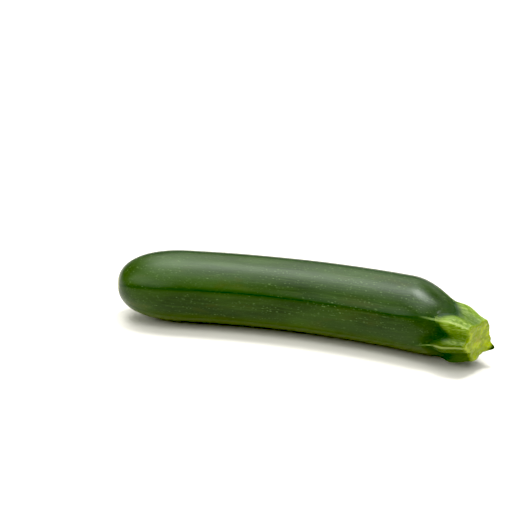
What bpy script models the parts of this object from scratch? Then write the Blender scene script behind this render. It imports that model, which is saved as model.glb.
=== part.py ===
"""A courgette lying on its side: the fruit, and the ribbed stub of its stem.

Metres, +Z up. The fruit's long axis runs along X, with the blossom end at -X and the cut
stem at +X. It is bowed in the horizontal plane, and its hollow side faces -Y.

Both pieces are one body as grown. A point on it is given by its station, the distance
from the blossom tip along the bowed axis, by its angle round that axis, which starts at
the hollow side and turns up, and by its distance from the axis.
"""

import math

import bmesh
import bpy
from mathutils import Vector

# The bowed axis
BODY_LENGTH = 0.2064  # from the blossom tip to the middle of the cut
BEND_RADIUS = 0.415
STEM_TURN = 8.2  # degrees that the stem turns further to the hollow side
STEM_DIP = 0.3  # degrees that the stem dips to the table
NECK_START = 0.150  # where the turn and the dip begin
NECK_END = 0.195
STEM_SHIFT = 0.0047  # how far the stem sits off the middle of the fruit's end
SHIFT_ANGLE = -30.0  # degrees round the axis
SHIFT_START = 0.161
AXIS_STEP = 0.001

# The outline, ridges left out
FRUIT_RADIUS = 0.0199
FRUIT_SWELL = 0.0003  # how much thicker the fruit is before its shoulder
BLOSSOM_LENGTH = 0.040
BLOSSOM_FULLNESS = 2.4  # 2 would make the blossom end a half ellipse
SHOULDER_START = 0.1625
SHOULDER_END = 0.2036
CUT_RADIUS = 0.01025
STEM_TAPER = 0.048  # metres that the stem widens per metre back from the cut
STEM_SWELL = 0.0021  # how much thicker the stem is at its middle
SWELL_START = 0.184
SWELL_TOP = 0.193
SWELL_END = 0.207

# The scar that the blossom left
SCAR_STATION = 0.0006  # where its rim is
SCAR_DISH = 0.0009
SCAR_RINGS = (0.0, 0.50, 0.85)  # shares of the rim's radius

# The ridges: blunt corners along the fruit, which become round ribs on the stem
RIDGES = (49.5, 125.5, 217.5, 291.5, 357.5)  # degrees round the axis, at the stem
TWIST = 29.3  # degrees that the ridges turn from the middle of the fruit to the stem
TWIST_START = 0.157
TWIST_END = 0.203
RIDGE_HEIGHT = 0.031  # ridge above groove, as a share of the outline's radius
RIB_HEIGHT = 0.205  # what the stem's ribs add to that
RIB_START = 0.181
RIB_END = 0.195

# Where the skin ends and the stem begins: a toothed line, with a rib's toe on each ridge
JOINT = 0.1885
TOE_LENGTH = 0.0075
JOINT_GAP = 0.0005
SEAT_RINGS = (1.0, 0.78, 0.50, 0.24)  # shares of the rim's radius, from the rim inwards

# The cut end of the stem
CUT_SLANT = 0.18  # metres that it is cut further back on one side, per metre across
SLANT_ANGLE = 18.0  # degrees round the axis, of that side
CUT_EDGE = 0.0009
CUT_RINGS = (0.93, 0.74, 0.50, 0.25)  # shares of the rim's radius, from the rim inwards
CUT_DISH = 0.0007  # how far the soft middle has sunk
STRINGS = 17  # fine strings in the rind, round the whole stem
STRING_HEIGHT = 0.0002
SPUR_RIDGE = 2  # the rib that ends in a torn spur
SPUR_LENGTH = 0.0030
SPUR_WIDTH = 17.0  # degrees to each side

# The strip that it rests on
FLAT_DEPTH = 0.0006

# The mesh
SEGMENTS = 60
BLOSSOM_RINGS = 11
MIDDLE_RINGS = 9
SHOULDER_RINGS = 10
STEM_RINGS = 11
SHARP_ANGLE = 50.0  # degrees between faces, from which their edge is drawn sharp

SKIN_GREEN = (0.020, 0.062, 0.010, 1.0)
STEM_GREEN = (0.250, 0.390, 0.050, 1.0)


def clear_scene():
    for obj in list(bpy.data.objects):
        bpy.data.objects.remove(obj, do_unlink=True)


def blend(low, high, value):
    """0 below low and 1 above high, with a smooth step between them."""
    share = min(max((value - low) / (high - low), 0.0), 1.0)
    return share * share * (3.0 - 2.0 * share)


def axis_frame(station):
    """(direction of the axis, direction to the hollow side) at a station."""
    share = blend(NECK_START, NECK_END, station)
    turn = (station - BODY_LENGTH / 2.0) / BEND_RADIUS + math.radians(STEM_TURN) * share
    dip = math.radians(STEM_DIP) * share
    hollow_side = Vector((-math.sin(turn), -math.cos(turn), 0.0))
    level = Vector((math.cos(turn), -math.sin(turn), 0.0))
    return level * math.cos(dip) - Vector((0.0, 0.0, math.sin(dip))), hollow_side


def axis_points():
    """Points of the axis AXIS_STEP apart, from a little before the tip to past the cut."""
    before = -10
    past = 230
    points = {before: Vector((0.0, 0.0, 0.0))}
    for index in range(before, past):
        direction, _ = axis_frame((index + 0.5) * AXIS_STEP)
        points[index + 1] = points[index] + direction * AXIS_STEP
    return points


AXIS = axis_points()


def body_point(station, angle, radius):
    direction, hollow_side = axis_frame(station)
    index = math.floor(station / AXIS_STEP)
    point = AXIS[index].lerp(AXIS[index + 1], station / AXIS_STEP - index)
    up = hollow_side.cross(direction)
    shift = STEM_SHIFT * blend(SHIFT_START, NECK_END, station)
    aside = radius * math.cos(angle) + shift * math.cos(math.radians(SHIFT_ANGLE))
    above = radius * math.sin(angle) + shift * math.sin(math.radians(SHIFT_ANGLE))
    return point + aside * hollow_side + above * up


def outline_radius(station):
    """Distance from the axis to the surface, ridges left out."""
    before_full = max(0.0, 1.0 - station / BLOSSOM_LENGTH)
    share = (1.0 - before_full**BLOSSOM_FULLNESS) ** (1.0 / BLOSSOM_FULLNESS)
    swell = FRUIT_SWELL * blend(SHOULDER_START / 2.0, SHOULDER_START, station)
    fruit = share * (FRUIT_RADIUS + swell)
    stem = CUT_RADIUS + STEM_TAPER * (BODY_LENGTH - station)
    swollen = blend(SWELL_START, SWELL_TOP, station) * (1.0 - blend(SWELL_TOP, SWELL_END, station))
    stem += STEM_SWELL * swollen
    return fruit + (stem - fruit) * blend(SHOULDER_START, SHOULDER_END, station)


def between_ridges(station, angle):
    """(ridge before, share of the way to the next ridge, degrees between the two)."""
    behind = TWIST * (1.0 - blend(TWIST_START, TWIST_END, station))
    turn = (math.degrees(angle) + behind - RIDGES[0]) % 360.0
    for index, ridge in enumerate(RIDGES):
        following = RIDGES[index + 1] if index + 1 < len(RIDGES) else RIDGES[0] + 360.0
        width = following - ridge
        share = (turn - (ridge - RIDGES[0])) / width
        if share <= 1.0:
            return index, share, width
    raise ValueError(angle)


def ridge_rise(station, angle):
    """About 0.5 on a ridge and -0.5 in a groove."""
    _, share, width = between_ridges(station, angle)
    rib = 0.5 * math.cos(2.0 * math.pi * share)
    half = math.radians(width / 2.0)
    from_middle = math.radians((share - 0.5) * width)
    corner = (1.0 / math.cos(from_middle) - 1.0) / (1.0 / math.cos(half) - 1.0) - 0.4
    return corner + (rib - corner) * blend(SHOULDER_START, RIB_END, station)


def surface_radius(station, angle):
    """Distance from the axis to the grown surface."""
    height = RIDGE_HEIGHT * blend(0.0, BLOSSOM_LENGTH, station)
    height += RIB_HEIGHT * blend(RIB_START, RIB_END, station)
    radius = outline_radius(station) * (1.0 + height * ridge_rise(station, angle))
    strings = STRING_HEIGHT * blend(JOINT, JOINT + TOE_LENGTH, station)
    return radius + strings * math.cos(STRINGS * angle)


def joint_station(angle):
    """Where the skin ends: further back on a ridge than in a groove."""
    _, share, _ = between_ridges(JOINT, angle)
    return JOINT - TOE_LENGTH * 0.5 * math.cos(2.0 * math.pi * share)


def seat_point(angle, share, gap):
    """A point of the face where fruit and stem meet, gap further along the axis."""
    rim = joint_station(angle)
    station = JOINT + (rim - JOINT) * share * share
    return body_point(station + gap, angle, share * surface_radius(rim, angle))


def side_stations():
    """Stations of the rings along the fruit's side, closest where it curves most."""
    blossom = BLOSSOM_LENGTH - SCAR_STATION
    middle = SHOULDER_START - BLOSSOM_LENGTH
    shoulder = JOINT - SHOULDER_START
    turns = [math.pi / 2.0 * i / BLOSSOM_RINGS for i in range(BLOSSOM_RINGS)]
    stations = [SCAR_STATION + blossom * (1.0 - math.cos(turn)) for turn in turns]
    stations += [BLOSSOM_LENGTH + middle * i / MIDDLE_RINGS for i in range(MIDDLE_RINGS)]
    stations += [SHOULDER_START + shoulder * i / SHOULDER_RINGS for i in range(SHOULDER_RINGS)]
    return stations


def fruit_rings():
    """One function of the angle for each ring, from the blossom scar to the joint's middle."""

    def scar_point(angle, share):
        station = SCAR_DISH * (1.0 - share * share)
        return body_point(station, angle, share * outline_radius(SCAR_STATION))

    def side_point(angle, station):
        pull = blend(SHOULDER_START, JOINT, station)
        moved = station + pull * (joint_station(angle) - JOINT)
        return body_point(moved, angle, surface_radius(moved, angle))

    rings = [lambda angle, out=share: scar_point(angle, out) for share in SCAR_RINGS]
    rings += [lambda angle, at=station: side_point(angle, at) for station in side_stations()]
    rings += [lambda angle, out=share: seat_point(angle, out, 0.0) for share in SEAT_RINGS + (0.0,)]
    return rings


def spur(angle):
    """1 on the torn spur's tip and 0 beside it."""
    index, share, width = between_ridges(BODY_LENGTH, angle)
    if index == SPUR_RIDGE:
        return 1.0 - blend(0.0, SPUR_WIDTH, share * width)
    if index == SPUR_RIDGE - 1:
        return 1.0 - blend(0.0, SPUR_WIDTH, (1.0 - share) * width)
    return 0.0


def cut_station(angle, radius):
    return BODY_LENGTH - CUT_SLANT * radius * math.cos(angle - math.radians(SLANT_ANGLE))


def stem_rings():
    """One function of the angle for each ring, from the joint's middle to the cut's."""

    def rind_point(angle, along):
        start = joint_station(angle) + JOINT_GAP
        end = cut_station(angle, surface_radius(BODY_LENGTH, angle)) - CUT_EDGE
        station = start + along * (end - start)
        torn = SPUR_LENGTH * spur(angle) * blend(0.6, 1.0, along)
        return body_point(station + torn, angle, surface_radius(station, angle))

    def cut_point(angle, share):
        radius = share * surface_radius(BODY_LENGTH, angle)
        torn = SPUR_LENGTH * spur(angle) * blend(CUT_RINGS[1], 1.0, share)
        dish = CUT_DISH * (1.0 - share * share)
        return body_point(cut_station(angle, radius) + torn - dish, angle, radius)

    base = (0.0,) + SEAT_RINGS[:0:-1]
    rind = [ring / (STEM_RINGS - 1) for ring in range(STEM_RINGS)]
    rings = [lambda angle, out=share: seat_point(angle, out, JOINT_GAP) for share in base]
    rings += [lambda angle, part=along: rind_point(angle, part) for along in rind]
    rings += [lambda angle, out=share: cut_point(angle, out) for share in CUT_RINGS + (0.0,)]
    return rings


def wrapped_sphere(name, rings):
    """A closed body: a sphere whose vertices are moved ring by ring, from pole to pole."""
    bm = bmesh.new()
    last = len(rings) - 1
    bmesh.ops.create_uvsphere(bm, u_segments=SEGMENTS, v_segments=last, radius=1.0)
    for vert in bm.verts:
        ring = round(math.acos(max(-1.0, min(1.0, vert.co.z))) / math.pi * last)
        angle = math.atan2(vert.co.y, vert.co.x) % (2.0 * math.pi)
        vert.co = rings[ring](angle)
    mesh = bpy.data.meshes.new(name)
    bm.to_mesh(mesh)
    bm.free()
    return mesh


def flatten_underside(mesh):
    """Cuts the flat strip that the fruit rests on, and returns its height."""
    floor = min(vert.co.z for vert in mesh.vertices) + FLAT_DEPTH
    bm = bmesh.new()
    bm.from_mesh(mesh)
    cut = bmesh.ops.bisect_plane(
        bm,
        geom=bm.verts[:] + bm.edges[:] + bm.faces[:],
        plane_co=(0.0, 0.0, floor),
        plane_no=(0.0, 0.0, -1.0),
        clear_outer=True,
    )
    rim = [item for item in cut["geom_cut"] if isinstance(item, bmesh.types.BMEdge)]
    bmesh.ops.contextual_create(bm, geom=rim)
    bmesh.ops.recalc_face_normals(bm, faces=bm.faces)
    bm.to_mesh(mesh)
    bm.free()
    return floor


def centre_on_table(meshes, floor):
    """Moves the meshes so that the body stands on Z = 0, centred over the origin."""
    points = [vert.co for mesh in meshes for vert in mesh.vertices]
    middle = [(min(p[i] for p in points) + max(p[i] for p in points)) / 2.0 for i in (0, 1)]
    for mesh in meshes:
        for vert in mesh.vertices:
            vert.co -= Vector((middle[0], middle[1], floor))


def material(name, colour, roughness):
    made = bpy.data.materials.new(name)
    made.use_nodes = True
    shader = made.node_tree.nodes["Principled BSDF"]
    shader.inputs["Base Color"].default_value = colour
    shader.inputs["Roughness"].default_value = roughness
    shader.inputs["Metallic"].default_value = 0.0
    made.diffuse_color = colour
    return made


def add_piece(name, mesh, finish, collection):
    piece = bpy.data.objects.new(name, mesh)
    collection.objects.link(piece)
    mesh.materials.append(finish)
    mesh.shade_smooth()
    mesh.set_sharp_from_angle(angle=math.radians(SHARP_ANGLE))


def main():
    clear_scene()
    collection = bpy.data.collections.new("courgette")
    bpy.context.scene.collection.children.link(collection)
    fruit = wrapped_sphere("fruit", fruit_rings())
    stem = wrapped_sphere("stem", stem_rings())
    centre_on_table((fruit, stem), flatten_underside(fruit))
    add_piece("fruit", fruit, material("waxy_skin", SKIN_GREEN, 0.35), collection)
    add_piece("stem", stem, material("stem_rind", STEM_GREEN, 0.60), collection)


main()
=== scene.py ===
"""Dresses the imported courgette: its waxy skin, the ribbed stub of its stem, and a studio.

Metres, in the CAD model's own frame. The skin and the stem follow the formulas of the CAD
model, in finer steps and with finer relief. A point of the surface is given by its station,
the distance from the blossom tip along the bowed axis, by its angle round that axis, which
starts at the hollow side and turns up, and by its distance from the axis.
"""

import functools
import math

import bmesh
import bpy
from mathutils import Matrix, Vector, noise


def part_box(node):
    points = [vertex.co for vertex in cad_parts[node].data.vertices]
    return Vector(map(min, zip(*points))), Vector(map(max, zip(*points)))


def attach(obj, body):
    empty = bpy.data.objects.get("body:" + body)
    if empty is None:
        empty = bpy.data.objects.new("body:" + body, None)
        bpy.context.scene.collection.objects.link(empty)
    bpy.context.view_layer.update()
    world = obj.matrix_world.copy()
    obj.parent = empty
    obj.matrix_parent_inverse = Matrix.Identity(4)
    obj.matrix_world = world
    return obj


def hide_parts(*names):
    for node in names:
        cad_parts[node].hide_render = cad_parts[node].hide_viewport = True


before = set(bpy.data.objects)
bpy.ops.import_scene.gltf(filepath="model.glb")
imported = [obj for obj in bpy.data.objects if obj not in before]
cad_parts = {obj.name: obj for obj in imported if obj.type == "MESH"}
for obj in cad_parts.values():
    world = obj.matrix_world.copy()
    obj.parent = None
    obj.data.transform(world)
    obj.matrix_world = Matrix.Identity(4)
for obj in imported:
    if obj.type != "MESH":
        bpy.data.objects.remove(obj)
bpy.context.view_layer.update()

bl_info = {
    "name": "Courgette",
    "version": (1, 0, 0),
    "blender": (4, 5, 0),
    "location": "3D View > Sidebar > Courgette",
    "description": "Builds the skin and the stem of a courgette over its CAD model",
    "category": "Object",
}

# The bowed axis, as in the CAD model
BODY_LENGTH = 0.2064
BEND_RADIUS = 0.415
STEM_TURN = 8.2
STEM_DIP = 0.3
NECK_START = 0.150
NECK_END = 0.195
STEM_SHIFT = 0.0047
SHIFT_ANGLE = -30.0
SHIFT_START = 0.161
AXIS_STEP = 0.001

# The outline, the ridges, the scar and the joint, as in the CAD model
FRUIT_RADIUS = 0.0199
FRUIT_SWELL = 0.0003
BLOSSOM_LENGTH = 0.040
BLOSSOM_FULLNESS = 2.4
SHOULDER_START = 0.1625
SHOULDER_END = 0.2036
CUT_RADIUS = 0.01025
STEM_TAPER = 0.048
STEM_SWELL = 0.0021
SWELL_START = 0.184
SWELL_TOP = 0.193
SWELL_END = 0.207
SCAR_STATION = 0.0006
SCAR_DISH = 0.0009
SCAR_LIP = 0.85  # the outermost scar ring, as a share of the rim's radius
RIDGES = (49.5, 125.5, 217.5, 291.5, 357.5)
TWIST = 29.3
TWIST_START = 0.157
TWIST_END = 0.203
RIDGE_HEIGHT = 0.031
RIB_HEIGHT = 0.205
RIB_START = 0.181
RIB_END = 0.195
JOINT = 0.1885
TOE_LENGTH = 0.0075
CUT_SLANT = 0.18
SLANT_ANGLE = 18.0
CUT_DISH = 0.0007
STRINGS = 17
STRING_HEIGHT = 0.0002
SPUR_RIDGE = 2
SPUR_WIDTH = 17.0
SPUR_ROOT = 0.74  # share of the cut's radius where the spur starts to rise
SPUR_START = 0.6  # share of the stem's length where it starts to rise

# What the finer meshes change and add
SPUR_LENGTH = 0.0026  # 0.0030 in the CAD model
CUT_EDGE = 0.0013  # how far back the cut's edge is rounded, 0.0009 in the CAD model
CUT_ROUND = 0.87  # share of the rim's radius where that rounding begins
INSET = 0.00003  # about how far the CAD's facets dip below the smooth surface
FLOOR_GAP = 0.00002  # keeps the flat strip underneath out of the floor's own plane
TUCK = 0.0002  # how far the skin's edge passes under the stem
SEAT_RADIUS = 0.012  # a little less than the joint's smallest, which is in its grooves
OVERLAP = 0.0004  # how far the rind starts before the joint

# Relief of the skin. A noise scale is one over the size of its lumps
WAVES = 0.00012  # how deep the skin's long shallow hollows are
WAVE_SCALE = 95.0
WAVE_STRETCH = 0.35  # lumps are drawn out by one over this along the fruit
# Station, angle in degrees, reach and depth of each dent
DENTS = ((0.034, 66.0, 0.0030, 0.00012), (0.029, 44.0, 0.0026, 0.00010))
PUCKERS = 13  # small folds of skin round the scar
PUCKER_DEPTH = 0.00016
PUCKER_DRIFT = 2.0  # how far noise turns the folds, in radians of their wave
PUCKER_DRIFT_SCALE = 400.0
PUCKER_REACH = (0.0004, 0.0045)  # stations between which they fade
CORK_HEIGHT = 0.0002
CORK_SCALE = 5.0  # counted in the scar's radius, not in metres
LIP_START = 0.8  # share of the rim's radius where the lip turns over to the side
SKIN_RELIEF_END = 0.004  # the skin runs out smoothly over this length before the joint

# Relief of the stem
FINE_STRINGS = 88
FINE_STRING_DEPTH = 0.00016
STRING_DRIFT = 2.5  # how far noise turns the strings, in radians of their wave
STRING_DRIFT_SCALE = 260.0
STRING_DEPTH_SCALE = 420.0
RIND_LUMPS = 0.00028
RIND_LUMP_SCALE = 330.0
RIND_STRETCH = 0.3
RIND_RELIEF_START = 0.0015  # the relief grows over this length from the rind's start
CUT_LUMPS = 0.0009
CUT_LUMP_SCALES = (240.0, 700.0)

# Vertices round each mesh, and rings along its parts
SKIN_SEGMENTS = 256
SKIN_RINGS = (11, 56, 150, 56, 8)  # scar, blossom end, middle, shoulder, seat
STEM_SEGMENTS = 480
STEM_RINGS = (6, 92, 8, 30)  # base, rind, rounded edge, cut
CAD_SEGMENTS = 60  # round the CAD model's fruit
MILLIMETRE = 0.001
TAU = 2.0 * math.pi


def linear(hex_colour):
    """Linear red, green, blue and alpha of an sRGB hex value."""
    channels = [int(hex_colour[i : i + 2], 16) / 255.0 for i in (1, 3, 5)]
    return (
        *(c / 12.92 if c <= 0.04045 else ((c + 0.055) / 1.055) ** 2.4 for c in channels),
        1.0,
    )


def blend(low, high, value):
    """0 below low and 1 above high, with a smooth step between them."""
    share = min(max((value - low) / (high - low), 0.0), 1.0)
    return share * share * (3.0 - 2.0 * share)


@functools.cache
def axis_frame(station):
    """(direction of the axis, direction to the hollow side, up) at a station."""
    share = blend(NECK_START, NECK_END, station)
    turn = (station - BODY_LENGTH / 2.0) / BEND_RADIUS + math.radians(STEM_TURN) * share
    dip = math.radians(STEM_DIP) * share
    hollow_side = Vector((-math.sin(turn), -math.cos(turn), 0.0))
    level = Vector((math.cos(turn), -math.sin(turn), 0.0))
    direction = level * math.cos(dip) - Vector((0.0, 0.0, math.sin(dip)))
    return direction, hollow_side, hollow_side.cross(direction)


def axis_points():
    """Points of the axis AXIS_STEP apart, from a little before the tip to past the cut."""
    before = -10
    past = 230
    points = {before: Vector((0.0, 0.0, 0.0))}
    for index in range(before, past):
        points[index + 1] = points[index] + axis_frame((index + 0.5) * AXIS_STEP)[0] * AXIS_STEP
    return points


AXIS = axis_points()


def body_point(station, angle, radius):
    """The point at this station, angle and distance from the axis."""
    _, hollow_side, up = axis_frame(station)
    index = math.floor(station / AXIS_STEP)
    point = AXIS[index].lerp(AXIS[index + 1], station / AXIS_STEP - index)
    shift = STEM_SHIFT * blend(SHIFT_START, NECK_END, station)
    aside = radius * math.cos(angle) + shift * math.cos(math.radians(SHIFT_ANGLE))
    above = radius * math.sin(angle) + shift * math.sin(math.radians(SHIFT_ANGLE))
    return point + aside * hollow_side + above * up


def outline_radius(station):
    """Distance from the axis to the surface, ridges left out."""
    before_full = max(0.0, 1.0 - station / BLOSSOM_LENGTH)
    share = (1.0 - before_full**BLOSSOM_FULLNESS) ** (1.0 / BLOSSOM_FULLNESS)
    swell = FRUIT_SWELL * blend(SHOULDER_START / 2.0, SHOULDER_START, station)
    fruit = share * (FRUIT_RADIUS + swell)
    stem = CUT_RADIUS + STEM_TAPER * (BODY_LENGTH - station)
    swollen = blend(SWELL_START, SWELL_TOP, station) * (1.0 - blend(SWELL_TOP, SWELL_END, station))
    stem += STEM_SWELL * swollen
    return fruit + (stem - fruit) * blend(SHOULDER_START, SHOULDER_END, station)


def untwisted(station, angle):
    """The angle at which this line of growth arrives at the stem, in degrees."""
    return math.degrees(angle) + TWIST * (1.0 - blend(TWIST_START, TWIST_END, station))


def between_ridges(station, angle):
    """(ridge before, share of the way to the next ridge, degrees between the two)."""
    turn = (untwisted(station, angle) - RIDGES[0]) % 360.0
    for index, ridge in enumerate(RIDGES):
        following = RIDGES[index + 1] if index + 1 < len(RIDGES) else RIDGES[0] + 360.0
        width = following - ridge
        share = (turn - (ridge - RIDGES[0])) / width
        if share <= 1.0:
            return index, share, width
    raise ValueError(angle)


def ridge_rise(station, angle):
    """About 0.5 on a ridge and -0.5 in a groove."""
    _, share, width = between_ridges(station, angle)
    rib = 0.5 * math.cos(TAU * share)
    half = math.radians(width / 2.0)
    from_middle = math.radians((share - 0.5) * width)
    corner = (1.0 / math.cos(from_middle) - 1.0) / (1.0 / math.cos(half) - 1.0) - 0.4
    return corner + (rib - corner) * blend(SHOULDER_START, RIB_END, station)


def surface_radius(station, angle):
    """Distance from the axis to the grown surface."""
    height = RIDGE_HEIGHT * blend(0.0, BLOSSOM_LENGTH, station)
    height += RIB_HEIGHT * blend(RIB_START, RIB_END, station)
    radius = outline_radius(station) * (1.0 + height * ridge_rise(station, angle))
    strings = STRING_HEIGHT * blend(JOINT, JOINT + TOE_LENGTH, station)
    return radius + strings * math.cos(STRINGS * angle)


@functools.cache
def joint_station(angle):
    """Where the skin ends: further back on a ridge than in a groove."""
    _, share, _ = between_ridges(JOINT, angle)
    return JOINT - TOE_LENGTH * 0.5 * math.cos(TAU * share)


def seat_point(angle, share, gap):
    """A point of the face where fruit and stem meet, gap further along the axis."""
    rim = joint_station(angle)
    station = JOINT + (rim - JOINT) * share * share
    return body_point(station + gap, angle, share * surface_radius(rim, angle) - INSET * share)


def scar_station(share):
    """Station of the scar's surface, at a share of its rim's radius."""
    return SCAR_DISH * (1.0 - share * share)


@functools.cache
def frame_shift():
    """How far the CAD model's centring has moved the formulas' points."""
    turns = [TAU * i / CAD_SEGMENTS for i in range(CAD_SEGMENTS)]
    rim = outline_radius(SCAR_STATION)
    points = [body_point(scar_station(SCAR_LIP), turn, SCAR_LIP * rim) for turn in turns]
    for step in range(1, int(JOINT / AXIS_STEP)):
        station = step * AXIS_STEP
        points += [body_point(station, turn, surface_radius(station, turn)) for turn in turns]
    low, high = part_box("fruit")
    return Vector(
        (
            low.x - min(point.x for point in points),
            high.y - max(point.y for point in points),
            high.z - max(point.z for point in points),
        )
    )


def grown_point(station, angle, radius):
    """Where the surface would be on a straight fruit that never twisted."""
    turn = math.radians(untwisted(station, angle))
    return Vector((radius * math.cos(turn), radius * math.sin(turn), station))


def skin_relief(station, angle, radius):
    """How far the skin lies below the CAD model's smooth surface."""
    grown = grown_point(station, angle, radius)
    slow = Vector((grown.x, grown.y, grown.z * WAVE_STRETCH))
    depth = WAVES * (0.5 + 0.5 * noise.noise(slow * WAVE_SCALE))
    for at, turn, reach, deep in DENTS:
        away = math.hypot(station - at, radius * math.radians(math.degrees(angle) - turn))
        depth += deep * (1.0 - blend(0.0, reach, away))
    drift = PUCKER_DRIFT * noise.noise(grown * PUCKER_DRIFT_SCALE)
    folds = 0.5 + 0.5 * math.cos(PUCKERS * angle + drift)
    depth += PUCKER_DEPTH * folds * (1.0 - blend(*PUCKER_REACH, station))
    return depth + INSET


def shares(count):
    """Even steps from 0 to just before 1."""
    return [i / count for i in range(count)]


def skin_rings():
    """One function of the angle for each ring, from the scar to the middle of the joint."""
    scar, blossom, middle, shoulder, seat = SKIN_RINGS
    rim = outline_radius(SCAR_STATION)

    def scar_values(angle, share):
        cork = noise.noise(Vector((math.cos(angle), math.sin(angle), 3.0)) * share * CORK_SCALE)
        station = scar_station(share) + SCAR_STATION * blend(LIP_START, 1.0, share)
        station += CORK_HEIGHT * (0.5 + 0.5 * cork) * (1.0 - share**4)
        radius = share * (rim - INSET)
        return {
            "place": body_point(station, angle, radius),
            "grown": grown_point(0.0, angle, radius),
            "ridge": 0.0,
            "edge": JOINT,
            "end": (share - 1.0) * rim,
        }

    def side_values(angle, station):
        pull = blend(SHOULDER_START, JOINT, station)
        moved = station + pull * (joint_station(angle) - JOINT)
        radius = surface_radius(moved, angle)
        edge = joint_station(angle) - moved
        relief = skin_relief(moved, angle, radius) * blend(0.0, SKIN_RELIEF_END, edge)
        relief += TUCK * (1.0 - blend(0.0, 2.0 * OVERLAP, edge)) + INSET
        return {
            "place": body_point(moved, angle, radius - relief),
            "grown": grown_point(moved, angle, radius),
            "ridge": ridge_rise(moved, angle),
            "edge": edge,
            "end": math.hypot(moved - SCAR_STATION, radius - rim),
        }

    def seat_values(angle, share):
        radius = share * surface_radius(joint_station(angle), angle)
        return {
            "place": seat_point(angle, share * (1.0 - TUCK / SEAT_RADIUS), 0.0),
            "grown": grown_point(JOINT, angle, radius),
            "ridge": 0.0,
            "edge": 0.0,
            "end": JOINT,
        }

    rings = [functools.partial(scar_values, share=share) for share in shares(scar)]
    ends = BLOSSOM_LENGTH - SCAR_STATION
    stations = [SCAR_STATION + ends * (1.0 - math.cos(s * math.pi / 2.0)) for s in shares(blossom)]
    length = SHOULDER_START - BLOSSOM_LENGTH
    stations += [BLOSSOM_LENGTH + length * share for share in shares(middle)]
    length = JOINT - SHOULDER_START
    stations += [SHOULDER_START + length * share for share in shares(shoulder)] + [JOINT]
    rings += [functools.partial(side_values, station=station) for station in stations]
    rings += [functools.partial(seat_values, share=1.0 - (i + 1) / seat) for i in range(seat)]
    return rings


def spur(angle):
    """1 on the torn spur's tip and 0 beside it."""
    index, share, width = between_ridges(BODY_LENGTH, angle)
    if index == SPUR_RIDGE:
        return 1.0 - blend(0.0, SPUR_WIDTH, share * width)
    if index == SPUR_RIDGE - 1:
        return 1.0 - blend(0.0, SPUR_WIDTH, (1.0 - share) * width)
    return 0.0


def cut_station(angle, radius):
    """Where the slanting cut meets this line along the stem."""
    return BODY_LENGTH - CUT_SLANT * radius * math.cos(angle - math.radians(SLANT_ANGLE))


def rind_relief(station, angle, radius):
    """How far the fibrous rind lies below the CAD model's smooth surface."""
    grown = grown_point(station, angle, radius)
    slow = Vector((grown.x, grown.y, grown.z * RIND_STRETCH))
    drift = STRING_DRIFT * noise.noise(slow * STRING_DRIFT_SCALE)
    string = 0.5 - 0.5 * math.cos(FINE_STRINGS * angle + drift)
    strength = 0.5 + 0.5 * noise.noise(slow * STRING_DEPTH_SCALE + Vector((7.0, 0.0, 0.0)))
    lumps = 0.5 + 0.5 * noise.noise(slow * RIND_LUMP_SCALE)
    return FINE_STRING_DEPTH * string * strength + RIND_LUMPS * lumps * lumps + INSET


def stem_rings():
    """One function of the angle for each ring, from the joint's middle to the cut's."""
    base, rind, edge, cut = STEM_RINGS

    def base_values(angle, share):
        return {
            "place": seat_point(angle, share, INSET),
            "grown": grown_point(JOINT, angle, share * CUT_RADIUS),
            "ridge": 0.0,
            "edge": 0.0,
            "end": BODY_LENGTH - JOINT,
            "torn": 0.0,
        }

    def rind_values(angle, along):
        start = joint_station(angle) - OVERLAP
        rim = cut_station(angle, surface_radius(BODY_LENGTH, angle)) - CUT_EDGE
        station = start + along * (rim - start)
        torn = spur(angle) * blend(SPUR_START, 1.0, along)
        radius = surface_radius(station, angle)
        relief = rind_relief(station, angle, radius)
        relief *= blend(0.0, RIND_RELIEF_START, station - start)
        return {
            "place": body_point(station + SPUR_LENGTH * torn, angle, radius - relief),
            "grown": grown_point(station, angle, radius),
            "ridge": ridge_rise(station, angle),
            "edge": station - start,
            "end": rim - station + CUT_EDGE,
            "torn": torn,
        }

    def cut_values(angle, share, back):
        full = surface_radius(BODY_LENGTH, angle)
        full -= rind_relief(BODY_LENGTH, angle, full)
        radius = share * full
        torn = spur(angle) * blend(SPUR_ROOT, 1.0, share)
        turned = Vector((math.cos(angle), math.sin(angle), 0.0)) * radius
        large, small = (noise.noise(turned * scale) for scale in CUT_LUMP_SCALES)
        lumps = large + 0.5 * small
        down = CUT_DISH * (1.0 - share * share) + CUT_LUMPS * (0.5 + 0.5 * lumps) * (1.0 - back)
        station = cut_station(angle, radius) + SPUR_LENGTH * torn - down - CUT_EDGE * back
        return {
            "place": body_point(station, angle, radius),
            "grown": grown_point(BODY_LENGTH, angle, radius),
            "ridge": ridge_rise(BODY_LENGTH, angle),
            "edge": BODY_LENGTH - JOINT,
            "end": CUT_EDGE * back - (1.0 - back) * (1.0 - share) * full,
            "torn": torn,
        }

    rings = [functools.partial(base_values, share=share) for share in shares(base)]
    rings += [functools.partial(rind_values, along=i / (rind - 1)) for i in range(rind)]
    for i in range(1, edge + 1):
        turn = math.pi / 2.0 * i / edge
        share = 1.0 - (1.0 - CUT_ROUND) * (1.0 - math.cos(turn))
        rings.append(functools.partial(cut_values, share=share, back=1.0 - math.sin(turn)))
    for i in range(1, cut + 1):
        rings.append(functools.partial(cut_values, share=CUT_ROUND * (1.0 - i / cut), back=0.0))
    return rings


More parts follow.
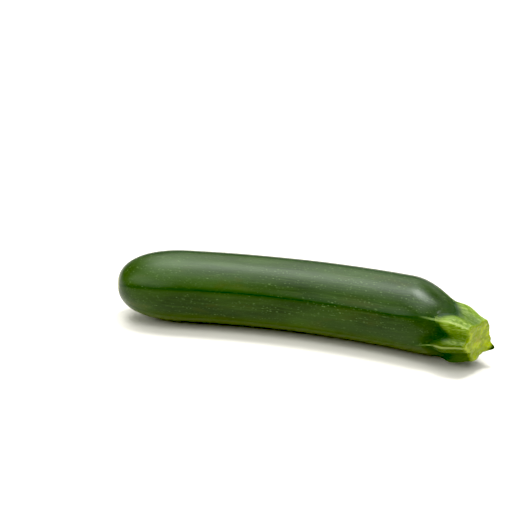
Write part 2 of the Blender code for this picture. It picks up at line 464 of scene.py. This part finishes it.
def wrapped_sphere(name, rings, segments, shift):
    """A closed body: a sphere whose vertices are moved ring by ring, from pole to pole.

    What a ring says of a point, apart from its place, becomes the mesh's attributes.
    """
    bm = bmesh.new()
    last = len(rings) - 1
    bmesh.ops.create_uvsphere(bm, u_segments=segments, v_segments=last, radius=1.0)
    numbers = {key: bm.verts.layers.float.new(key) for key in ("ridge", "edge", "end", "torn")}
    grown = bm.verts.layers.float_vector.new("grown")
    for vert in bm.verts:
        ring = round(math.acos(max(-1.0, min(1.0, vert.co.z))) / math.pi * last)
        step = round(math.atan2(vert.co.y, vert.co.x) / TAU * segments) % segments
        values = rings[ring](TAU * step / segments)
        place = values.pop("place") + shift
        vert.co = (place.x, place.y, max(place.z, FLOOR_GAP))
        vert[grown] = values.pop("grown")
        for key, value in values.items():
            vert[numbers[key]] = value
    mesh = bpy.data.meshes.new(name)
    bm.to_mesh(mesh)
    bm.free()
    mesh.shade_smooth()
    return mesh


def add_piece(name, mesh, material, node):
    """Shows a new piece in place of a CAD node."""
    mesh.materials.append(material)
    piece = bpy.data.objects.new(name, mesh)
    bpy.context.scene.collection.objects.link(piece)
    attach(piece, "root")
    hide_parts(node)


def add_node(tree, kind, inputs=None, **settings):
    """Adds a shader node with its settings. inputs holds a value, a socket, or a node whose
    first output is meant, for each input's name or number."""
    node = tree.nodes.new("ShaderNode" + kind)
    for name, value in settings.items():
        setattr(node, name, value)
    for key, value in (inputs or {}).items():
        if isinstance(key, str):
            socket = next(s for s in node.inputs if s.name == key and s.enabled)
        else:
            socket = node.inputs[key]
        if isinstance(value, bpy.types.Node):
            value = next(s for s in value.outputs if s.enabled)
        if isinstance(value, bpy.types.NodeSocket):
            tree.links.new(value, socket)
        else:
            socket.default_value = value
    return node


def new_material(name):
    """(material, its shader, a function that adds nodes to it)."""
    material = bpy.data.materials.new(name)
    material.use_nodes = True
    tree = material.node_tree
    return material, tree.nodes["Principled BSDF"], functools.partial(add_node, tree)


def waxy_skin(look):
    """The skin of a courgette: one glassy layer of cells, grown in long rows under a thin
    natural wax. Dark mottled green, pale breathing spots, and a satin gloss that the wax
    softens in patches."""
    material, shader, node = new_material("waxy_courgette_skin")
    tree = material.node_tree
    grown = node("Attribute", attribute_name="grown").outputs["Vector"]
    ridge, edge, end = (
        node("Attribute", attribute_name=name).outputs["Fac"] for name in ("ridge", "edge", "end")
    )

    # Broad mottling, about 14 mm across and 40 mm long, then streaks under a millimetre wide
    long_patches = node("Mapping", {"Vector": grown, "Scale": (1.0, 1.0, 0.35)})
    mottle = node("TexNoise", {"Vector": long_patches, "Scale": 70.0, "Detail": 3.0})
    mottled = node("MapRange", {"Value": mottle, "From Min": 0.35, "From Max": 0.65})
    colour = node(
        "Mix",
        {"Factor": mottled, "A": look.deep_green, "B": look.fresh_green},
        data_type="RGBA",
    )
    tan = node(
        "TexNoise", {"Vector": long_patches, "Scale": 130.0, "Detail": 3.0, "Distortion": 0.6}
    )
    tanned = node("MapRange", {"Value": tan, "From Min": 0.56, "From Max": 0.72, "To Max": 0.45})
    colour = node("Mix", {"Factor": tanned, "A": colour, "B": look.tan_green}, data_type="RGBA")
    along = node("SeparateXYZ", {"Vector": grown}).outputs["Z"]
    older = node("MapRange", {"Value": along, "From Min": 0.100, "From Max": 0.180, "To Max": 0.45})
    colour = node("Mix", {"Factor": older, "A": colour, "B": look.old_green}, data_type="RGBA")
    rows = node("Mapping", {"Vector": grown, "Scale": (1.0, 1.0, 0.05)})
    streak = node("TexNoise", {"Vector": rows, "Scale": 1100.0, "Detail": 2.0})
    streaked = node(
        "MapRange", {"Value": streak, "From Min": 0.50, "From Max": 0.75, "To Max": 0.35}
    )
    colour = node(
        "Mix", {"Factor": streaked, "A": colour, "B": look.streak_green}, data_type="RGBA"
    )

    # The ridges are a darker green
    crest = node(
        "MapRange", {"Value": ridge, "From Min": 0.20, "From Max": 0.50, "To Max": 0.72}
    )
    colour = node(
        "Mix", {"Factor": crest, "A": colour, "B": look.ridge_and_shade_green}, data_type="RGBA"
    )

    # Pale breathing spots, up to about half a millimetre wide where they are strong: short ones,
    # and dashes that growth has drawn out to about two millimetres
    row = node("TexNoise", {"Vector": rows, "Scale": 380.0, "Detail": 1.0})
    crowded = node(
        "MapRange", {"Value": row, "From Min": 0.42, "From Max": 0.60, "To Min": 0.25}
    )
    spots = None
    layers = (  # spacing, stretch, size as a share of the spacing, soft edge, most colour
        (look.spot_spacing, 0.45, 0.23, 0.17, 0.42),
        (look.spot_spacing * 0.55, 0.45, 0.30, 0.22, 0.44),
        (look.dash_spacing, 0.20, 0.12, 0.09, 0.40),
    )
    for spacing, stretch, size, soft, most in layers:
        lattice = node("Mapping", {"Vector": grown, "Scale": (1.0, 1.0, stretch)})
        cells = node("TexVoronoi", {"Vector": lattice, "Scale": 1.0 / spacing})
        spot = node(
            "MapRange",
            {
                "Value": cells.outputs["Distance"],
                "From Min": size,
                "From Max": size - soft,
                "To Max": most,
            },
        )
        tint = node("SeparateColor", {"Color": cells.outputs["Color"]})
        strength = node("Math", {0: spot, 1: tint.outputs[0]}, operation="MULTIPLY")
        strength = node("Math", {0: strength, 1: crowded}, operation="MULTIPLY")
        if spots is not None:
            strength = node("Math", {0: strength, 1: spots}, operation="MAXIMUM")
        spots = strength
    colour = node("Mix", {"Factor": spots, "A": colour, "B": look.spot_green}, data_type="RGBA")

    # Wax: a thin grey-green bloom, worn thin in patches
    bloom = node("TexNoise", {"Vector": long_patches, "Scale": 46.0, "Detail": 5.0})
    waxed = node(
        "MapRange", {"Value": bloom, "From Min": 0.35, "From Max": 0.70, "To Max": look.bloom}
    )
    colour = node("Mix", {"Factor": waxed, "A": colour, "B": look.wax_grey}, data_type="RGBA")

    # Painted light: a lighter, yellower olive low down, standing in for light bounced from the
    # floor
    place = node("TexCoord").outputs["Object"]
    height = node("SeparateXYZ", {"Vector": place}).outputs["Z"]
    low = node(
        "MapRange",
        {"Value": height, "From Min": 0.013, "From Max": 0.003, "To Max": 0.70},
    )
    colour = node("Mix", {"Factor": low, "A": colour, "B": look.underside_bounce_and_shade}, data_type="RGBA")

    # Towards the stem: painted shade in the grooves, and a pale line down from each rib
    near = node("MapRange", {"Value": edge, "From Min": 0.010, "From Max": 0.0005})
    groove = node("MapRange", {"Value": ridge, "From Min": 0.25, "From Max": -0.25, "To Max": 0.6})
    painted_joint_shade = node("Math", {0: near, 1: groove}, operation="MULTIPLY")
    colour = node("Mix", {"Factor": painted_joint_shade, "A": colour, "B": look.ridge_and_shade_green}, data_type="RGBA")
    fading = node("MapRange", {"Value": edge, "From Min": 0.013, "From Max": 0.001})
    line = node("MapRange", {"Value": ridge, "From Min": 0.470, "From Max": 0.500})
    lined = node("Math", {0: fading, 1: line}, operation="MULTIPLY")
    fraying = node("Math", {0: streak, 1: 1.5}, operation="MULTIPLY")
    frayed = node("Math", {0: lined, 1: fraying}, operation="MULTIPLY", use_clamp=True)
    colour = node("Mix", {"Factor": frayed, "A": colour, "B": look.line_green}, data_type="RGBA")

    # The scar: tan cork, cracked from the middle, inside a pale green lip with short rays
    flat = node("Mapping", {"Vector": grown, "Scale": (1.0, 1.0, 0.0)})
    outward = node("VectorMath", {0: flat}, operation="NORMALIZE")
    rays = node("TexNoise", {"Vector": outward, "Scale": 5.0, "Detail": 3.0})
    reach = node("Math", {0: rays, 1: 0.0058}, operation="MULTIPLY")
    lip = node("MapRange", {"Value": end, "From Min": reach, "From Max": 0.0006})
    colour = node("Mix", {"Factor": lip, "A": colour, "B": look.lip_green}, data_type="RGBA")
    crumbs = node("TexNoise", {"Vector": grown, "Scale": 900.0, "Detail": 4.0})
    cork = node(
        "Mix", {"Factor": crumbs, "A": look.cork_tan, "B": look.cork_brown}, data_type="RGBA"
    )
    cracks = node(
        "TexVoronoi", {"Vector": grown, "Scale": 520.0}, feature="DISTANCE_TO_EDGE"
    )
    cracked = node("MapRange", {"Value": cracks, "From Min": 0.10, "From Max": 0.02})
    cork = node("Mix", {"Factor": cracked, "A": cork, "B": look.cork_crack}, data_type="RGBA")
    inside = node("MapRange", {"Value": end, "From Min": 0.0, "From Max": -0.0009})
    colour = node("Mix", {"Factor": inside, "A": colour, "B": cork}, data_type="RGBA")
    tree.links.new(colour.outputs[2], shader.inputs["Base Color"])

    # Duller where the wax is thick, where it runs out towards the stem, and on the cork
    gloss = node(
        "MapRange",
        {
            "Value": bloom,
            "From Min": 0.35,
            "From Max": 0.70,
            "To Min": look.gloss,
            "To Max": look.gloss + 0.12,
        },
    )
    unwaxed = node("MapRange", {"Value": edge, "From Min": 0.012, "From Max": 0.004})
    dull = node("Mix", {"Factor": unwaxed, "A": gloss, "B": 0.85}, data_type="FLOAT")
    dull = node("Mix", {"Factor": inside, "A": dull, "B": 0.75}, data_type="FLOAT")
    tree.links.new(dull.outputs[0], shader.inputs["Roughness"])
    shader.inputs["IOR"].default_value = 1.45
    shader.inputs["Specular IOR Level"].default_value = 0.38
    shader.inputs["Specular Tint"].default_value = look.wax_tint
    shader.inputs["Coat Weight"].default_value = 0.09
    shader.inputs["Coat Roughness"].default_value = 0.24

    # Heights in millimetres: rows of cells, spots that stand up a little, and the cork
    pores = node("TexNoise", {"Vector": grown, "Scale": 1500.0, "Detail": 2.0})
    relief = node("Math", {0: streak, 1: 0.030}, operation="MULTIPLY")
    relief = node("Math", {0: pores, 1: 0.050, 2: relief}, operation="MULTIPLY_ADD")
    relief = node("Math", {0: spots, 1: 0.030, 2: relief}, operation="MULTIPLY_ADD")
    pits = node("Math", {0: cracked, 1: inside}, operation="MULTIPLY")
    relief = node("Math", {0: pits, 1: -0.15, 2: relief}, operation="MULTIPLY_ADD")
    bump = node("Bump", {"Height": relief, "Distance": MILLIMETRE, "Strength": 1.0})
    tree.links.new(bump.outputs["Normal"], shader.inputs["Normal"])
    return material


def stem_rind(look):
    """The rind and the cut end of the stem: tough strings in soft green tissue, sliced with a
    knife. Pale strings, olive grooves partly darkened as painted shade, painted shade on the lower
    ribs, and a moist, paler cut with the ends of the strings."""
    material, shader, node = new_material("fibrous_stem_rind")
    tree = material.node_tree
    grown = node("Attribute", attribute_name="grown").outputs["Vector"]
    ridge, edge, end, torn = (
        node("Attribute", attribute_name=name).outputs["Fac"]
        for name in ("ridge", "edge", "end", "torn")
    )

    # From olive grooves, darkened partly as painted shade, to light ribs, broken by strings
    # look.string_spacing apart
    soft = node("TexNoise", {"Vector": grown, "Scale": 300.0, "Detail": 3.0})
    uneven = node("Math", {0: soft, 1: 0.6, 2: -0.3}, operation="MULTIPLY_ADD")
    level = node("Math", {0: ridge, 1: uneven}, operation="ADD")
    raised = node("MapRange", {"Value": level, "From Min": -0.45, "From Max": 0.20})
    colour = node(
        "Mix", {"Factor": raised, "A": look.olive_and_groove_shade, "B": look.rind_green}, data_type="RGBA"
    )
    drawn = node("Mapping", {"Vector": grown, "Scale": (1.0, 1.0, 0.07)})
    string = node(
        "TexNoise", {"Vector": drawn, "Scale": 0.9 / look.string_spacing, "Detail": 2.0}
    )
    pale = node("MapRange", {"Value": string, "From Min": 0.50, "From Max": 0.72})
    crest = node(
        "MapRange",
        {"Value": ridge, "From Min": -0.30, "From Max": 0.45, "To Min": 0.20, "To Max": 0.70},
    )
    strung = node("Math", {0: pale, 1: crest}, operation="MULTIPLY")
    colour = node("Mix", {"Factor": strung, "A": colour, "B": look.string_pale}, data_type="RGBA")
    dark = node(
        "MapRange", {"Value": string, "From Min": 0.48, "From Max": 0.34, "To Max": 0.75}
    )
    colour = node("Mix", {"Factor": dark, "A": colour, "B": look.olive_and_groove_shade}, data_type="RGBA")

    # Painted shade: darker olive low down, on the ribs that face the floor
    place = node("TexCoord").outputs["Object"]
    height = node("SeparateXYZ", {"Vector": place}).outputs["Z"]
    low = node(
        "MapRange", {"Value": height, "From Min": 0.0215, "From Max": 0.0170, "To Max": 0.85}
    )
    colour = node("Mix", {"Factor": low, "A": colour, "B": look.underside_bounce_and_shade}, data_type="RGBA")

    # A pale line along each rib
    top = node("MapRange", {"Value": ridge, "From Min": 0.465, "From Max": 0.50, "To Max": 0.50})
    colour = node("Mix", {"Factor": top, "A": colour, "B": look.string_pale}, data_type="RGBA")

    # Skin green runs on into the grooves, and the torn spur is dark green, its rind darkened partly
    # as painted shade
    foot = node("MapRange", {"Value": edge, "From Min": 0.0060, "From Max": 0.0015})
    hollow = node("MapRange", {"Value": level, "From Min": 0.62, "From Max": 0.30})
    running = node("Math", {0: foot, 1: hollow}, operation="MULTIPLY")
    colour = node("Mix", {"Factor": running, "A": colour, "B": look.skin_green}, data_type="RGBA")
    spur_dark = node(
        "MapRange", {"Value": torn, "From Min": 0.15, "From Max": 0.60, "To Max": 0.95}
    )
    colour = node("Mix", {"Factor": spur_dark, "A": colour, "B": look.spur_green_and_shade}, data_type="RGBA")

    # The cut: pale flesh, lumps, string ends and a yellower middle
    fibre = node("TexNoise", {"Vector": grown, "Scale": 650.0, "Detail": 4.0})
    flesh = node(
        "Mix", {"Factor": fibre, "A": look.flesh_shade, "B": look.flesh_pale}, data_type="RGBA"
    )
    patches = node("TexNoise", {"Vector": grown, "Scale": 260.0, "Detail": 2.0})
    fresh = node("MapRange", {"Value": patches, "From Min": 0.50, "From Max": 0.62, "To Max": 0.8})
    flesh = node("Mix", {"Factor": fresh, "A": flesh, "B": look.flesh_fresh}, data_type="RGBA")
    ends = node("TexVoronoi", {"Vector": grown, "Scale": 620.0})
    dots = node("MapRange", {"Value": ends, "From Min": 0.34, "From Max": 0.18, "To Max": 0.35})
    flesh = node("Mix", {"Factor": dots, "A": flesh, "B": look.string_pale}, data_type="RGBA")
    core = node("MapRange", {"Value": end, "From Min": -0.0075, "From Max": -0.0110, "To Max": 0.7})
    flesh = node("Mix", {"Factor": core, "A": flesh, "B": look.flesh_core}, data_type="RGBA")
    opened = node("MapRange", {"Value": end, "From Min": 0.0022, "From Max": -0.0012})
    whole = node("MapRange", {"Value": torn, "From Min": 0.5, "From Max": 0.1})
    opened = node("Math", {0: opened, 1: whole}, operation="MULTIPLY")
    colour = node("Mix", {"Factor": opened, "A": colour, "B": flesh}, data_type="RGBA")
    tree.links.new(colour.outputs[2], shader.inputs["Base Color"])

    damp = node("Mix", {"Factor": opened, "A": look.dullness, "B": 0.38}, data_type="FLOAT")
    tree.links.new(damp.outputs[0], shader.inputs["Roughness"])
    shader.inputs["IOR"].default_value = 1.45
    shader.inputs["Specular IOR Level"].default_value = 0.40
    shader.inputs["Subsurface Weight"].default_value = 0.12
    shader.inputs["Subsurface Radius"].default_value = (0.6, 1.0, 0.3)
    shader.inputs["Subsurface Scale"].default_value = 0.0015

    # Heights in millimetres
    relief = node("Math", {0: string, 1: 0.22}, operation="MULTIPLY")
    relief = node("Math", {0: fibre, 1: 0.18, 2: relief}, operation="MULTIPLY_ADD")
    bump = node("Bump", {"Height": relief, "Distance": MILLIMETRE, "Strength": 1.0})
    tree.links.new(bump.outputs["Normal"], shader.inputs["Normal"])
    return material


def colour_property(name, description, hex_colour):
    return bpy.props.FloatVectorProperty(
        name=name,
        description=description,
        subtype="COLOR",
        size=4,
        min=0.0,
        max=1.0,
        default=linear(hex_colour),
    )


def length_property(name, description, metres):
    return bpy.props.FloatProperty(
        name=name, description=description, unit="LENGTH", min=0.0, precision=4, default=metres
    )


def share_property(name, description, share):
    return bpy.props.FloatProperty(
        name=name, description=description, subtype="FACTOR", min=0.0, max=1.0, default=share
    )


class CourgetteSkinLook(bpy.types.PropertyGroup):
    """Colours and pattern sizes of the fruit's skin."""

    deep_green: colour_property("Deep green", "Darker patches of the skin", "#27341b")
    fresh_green: colour_property("Fresh green", "Lighter patches of the skin", "#35491f")
    tan_green: colour_property("Tan green", "Small brownish patches", "#42451b")
    old_green: colour_property("Old green", "Older skin, towards the stem", "#1f2c17")
    streak_green: colour_property("Streak green", "Fine lengthwise streaks", "#415826")
    # Also the colour of the painted shade in the grooves near the stem
    ridge_and_shade_green: colour_property("Ridge green", "Crests of the ridges", "#1d3413")
    spot_green: colour_property("Spot green", "Pale breathing spots", "#7d9a5c")
    wax_grey: colour_property("Wax grey", "The bloom of wax", "#70886a")
    wax_tint: colour_property("Wax tint", "What the wax reflects most", "#e8f6e8")
    # Painted light: the floor's bounce, lighter and yellower on the fruit's underside
    underside_bounce_and_shade: colour_property("Ground olive", "Where it lay towards the ground", "#5c672a")
    line_green: colour_property("Line green", "Lines that run down from the ribs", "#728a4c")
    lip_green: colour_property("Lip green", "Lip round the blossom scar", "#abaf83")
    cork_tan: colour_property("Cork tan", "Healed tissue of the scar", "#b8a078")
    cork_brown: colour_property("Cork brown", "Older tissue of the scar", "#8f6a42")
    cork_crack: colour_property("Cork crack", "Cracks in the scar", "#5f3a1b")
    spot_spacing: length_property("Spot spacing", "Between breathing spots", 0.0018)
    dash_spacing: length_property("Dash spacing", "Between rows of drawn-out spots", 0.0030)
    bloom: share_property("Bloom", "How much wax shows", 0.05)
    gloss: share_property("Roughness", "Where the wax is thin", 0.30)


class CourgetteStemLook(bpy.types.PropertyGroup):
    """Colours and pattern sizes of the stem."""

    # Partly painted shade: the grooves are darkened for the shade that falls in them
    olive_and_groove_shade: colour_property("Groove olive", "Bottoms of the grooves", "#4c661a")
    rind_green: colour_property("Rind green", "Ribs of the stem", "#698424")
    string_pale: colour_property("String pale", "Strings in the rind", "#a5b666")
    skin_green: colour_property("Skin green", "Skin that runs on into the grooves", "#1e3a10")
    # Partly painted shade: darker than the rind it is torn from
    spur_green_and_shade: colour_property("Spur green", "The torn spur", "#22360b")
    # Painted shade on the stem's lower ribs
    underside_bounce_and_shade: colour_property("Ground olive", "Ribs that face the ground", "#33470c")
    flesh_shade: colour_property("Flesh shade", "Hollows of the cut", "#748824")
    flesh_fresh: colour_property("Flesh fresh", "Moist patches of the cut", "#acbd2e")
    flesh_pale: colour_property("Flesh pale", "Most of the cut", "#98aa34")
    flesh_core: colour_property("Flesh core", "Middle of the cut", "#b0a45a")
    string_spacing: length_property("String spacing", "Between strings in the rind", 0.0006)
    dullness: share_property("Roughness", "Of the rind", 0.50)


class CourgetteStageLook(bpy.types.PropertyGroup):
    """The floor, the lights and the camera."""

    floor_white: colour_property("Floor white", "Paper under the courgette", "#ebe9e0")
    light_power: bpy.props.FloatProperty(
        name="Light power", description="Of all the softboxes", unit="POWER", default=160.0
    )
    room_light: bpy.props.FloatProperty(
        name="Room light", description="Light from all round", min=0.0, default=0.24
    )
    lens: bpy.props.FloatProperty(
        name="Lens", description="Focal length of the camera", unit="CAMERA", default=103.0
    )


class COURGETTE_OT_skin(bpy.types.Operator):
    """Builds the skin of the fruit, with the scar of the blossom"""

    bl_idname = "courgette.skin"
    bl_label = "Build Skin"

    def execute(self, context):
        look = context.scene.courgette_skin
        mesh = wrapped_sphere("fruit_skin", skin_rings(), SKIN_SEGMENTS, frame_shift())
        add_piece("fruit_skin", mesh, waxy_skin(look), "fruit")
        return {"FINISHED"}


class COURGETTE_OT_stem(bpy.types.Operator):
    """Builds the ribbed stub of the stem, with its cut end and torn spur"""

    bl_idname = "courgette.stem"
    bl_label = "Build Stem"

    def execute(self, context):
        look = context.scene.courgette_stem
        mesh = wrapped_sphere("stem_rind", stem_rings(), STEM_SEGMENTS, frame_shift())
        add_piece("stem_rind", mesh, stem_rind(look), "stem")
        return {"FINISHED"}


# The camera looks at a point of the floor from this side and height
CAMERA_AZIMUTH = 15.6
CAMERA_ELEVATION = 25.0
CAMERA_DISTANCE = 0.9
CAMERA_TARGET = Vector((-0.0465, 0.0827, 0.0))
FLOOR_SIZE = 12.0
SOFTBOX_DISTANCE = 3.0
SOFTBOXES = {  # degrees to the camera's right, degrees up from the near horizon, size, share
    "front_softbox": (-45.0, 50.0, (2.6, 1.3), 0.18),
    "right_softbox": (12.0, 62.0, (1.3, 2.0), 0.18),
    "top_softbox": (-16.0, 77.0, (2.0, 1.3), 0.14),
    "back_softbox": (-13.0, 103.0, (1.2, 1.3), 0.22),
    "shoulder_softbox": (8.0, 99.0, (0.5, 0.9), 0.36),
    "far_softbox": (-4.0, 130.0, (2.2, 1.3), 0.14),
    "rim_softbox": (32.0, 148.0, (1.8, 1.2), 0.04),
}
BLACK_POINT = 0.043  # scene light that the picture shows as black


class COURGETTE_OT_stage(bpy.types.Operator):
    """Adds the floor, the lights and the camera"""

    bl_idname = "courgette.stage"
    bl_label = "Add Stage"

    def execute(self, context):
        look = context.scene.courgette_stage
        scene = context.scene
        add_floor(look)
        azimuth = math.radians(CAMERA_AZIMUTH)
        near = Vector((math.sin(azimuth), -math.cos(azimuth), 0.0))
        side = Vector((math.cos(azimuth), math.sin(azimuth), 0.0))
        up = Vector((0.0, 0.0, 1.0))
        for name, (aside, height, size, share) in SOFTBOXES.items():
            rising = near * math.cos(math.radians(height)) + up * math.sin(math.radians(height))
            towards = rising * math.cos(math.radians(aside)) + side * math.sin(math.radians(aside))
            add_softbox(name, towards, size, look.light_power * share)
        add_camera(scene, near, up, look.lens)
        world = bpy.data.worlds.new("studio")
        world.use_nodes = True
        background = world.node_tree.nodes["Background"]
        background.inputs["Color"].default_value = (1.0, 1.0, 1.0, 1.0)
        background.inputs["Strength"].default_value = look.room_light
        scene.world = world
        scene.view_settings.view_transform = "Standard"
        scene.view_settings.use_curve_mapping = True
        levels = scene.view_settings.curve_mapping
        levels.black_level = (BLACK_POINT, BLACK_POINT, BLACK_POINT)
        levels.update()
        return {"FINISHED"}


def add_floor(look):
    """A sheet of matt white paper, with the faint tooth of its fibres."""
    bm = bmesh.new()
    bmesh.ops.create_grid(bm, x_segments=1, y_segments=1, size=FLOOR_SIZE / 2.0)
    mesh = bpy.data.meshes.new("floor")
    bm.to_mesh(mesh)
    bm.free()
    material, shader, node = new_material("matt_white_paper")
    place = node("TexCoord").outputs["Object"]
    fibres = node("TexNoise", {"Vector": place, "Scale": 900.0, "Detail": 2.0})
    bump = node("Bump", {"Height": fibres, "Distance": 0.00002})
    shader.inputs["Base Color"].default_value = look.floor_white
    shader.inputs["Roughness"].default_value = 0.9
    shader.inputs["Specular IOR Level"].default_value = 0.1
    material.node_tree.links.new(bump.outputs["Normal"], shader.inputs["Normal"])
    mesh.materials.append(material)
    floor = bpy.data.objects.new("floor", mesh)
    bpy.context.scene.collection.objects.link(floor)


def add_softbox(name, towards, size, power):
    """A softbox in this direction, turned to the courgette."""
    light = bpy.data.lights.new(name, "AREA")
    light.shape = "RECTANGLE"
    light.size, light.size_y = size
    light.energy = power
    lamp = bpy.data.objects.new(name, light)
    lamp.location = towards * SOFTBOX_DISTANCE
    lamp.rotation_euler = towards.to_track_quat("Z", "Y").to_euler()
    lamp.visible_camera = False
    bpy.context.scene.collection.objects.link(lamp)


def add_camera(scene, near, up, lens):
    elevation = math.radians(CAMERA_ELEVATION)
    back = near * math.cos(elevation) + up * math.sin(elevation)
    camera = bpy.data.objects.new("camera", bpy.data.cameras.new("camera"))
    camera.data.lens = lens
    camera.location = CAMERA_TARGET + back * CAMERA_DISTANCE
    camera.rotation_euler = back.to_track_quat("Z", "Y").to_euler()
    scene.collection.objects.link(camera)
    scene.camera = camera


class COURGETTE_PT_panel(bpy.types.Panel):
    """Lists the steps that build the courgette"""

    bl_label = "Courgette"
    bl_idname = "COURGETTE_PT_panel"
    bl_space_type = "VIEW_3D"
    bl_region_type = "UI"
    bl_category = "Courgette"

    def draw(self, context):
        for operator in OPERATORS:
            self.layout.operator(operator.bl_idname)
        for look in LOOKS:
            settings = getattr(context.scene, look)
            for name in settings.__annotations__:
                self.layout.prop(settings, name)


LOOKS = {
    "courgette_skin": CourgetteSkinLook,
    "courgette_stem": CourgetteStemLook,
    "courgette_stage": CourgetteStageLook,
}
OPERATORS = (COURGETTE_OT_skin, COURGETTE_OT_stem, COURGETTE_OT_stage)


def register():
    for made in (*LOOKS.values(), *OPERATORS, COURGETTE_PT_panel):
        bpy.utils.register_class(made)
    for name, group in LOOKS.items():
        setattr(bpy.types.Scene, name, bpy.props.PointerProperty(type=group))


def unregister():
    for name in LOOKS:
        delattr(bpy.types.Scene, name)
    for made in (COURGETTE_PT_panel, *OPERATORS[::-1], *LOOKS.values()):
        bpy.utils.unregister_class(made)


def main():
    register()
    bpy.ops.courgette.skin()
    bpy.ops.courgette.stem()
    bpy.ops.courgette.stage()


if __name__ == "__main__":
    main()
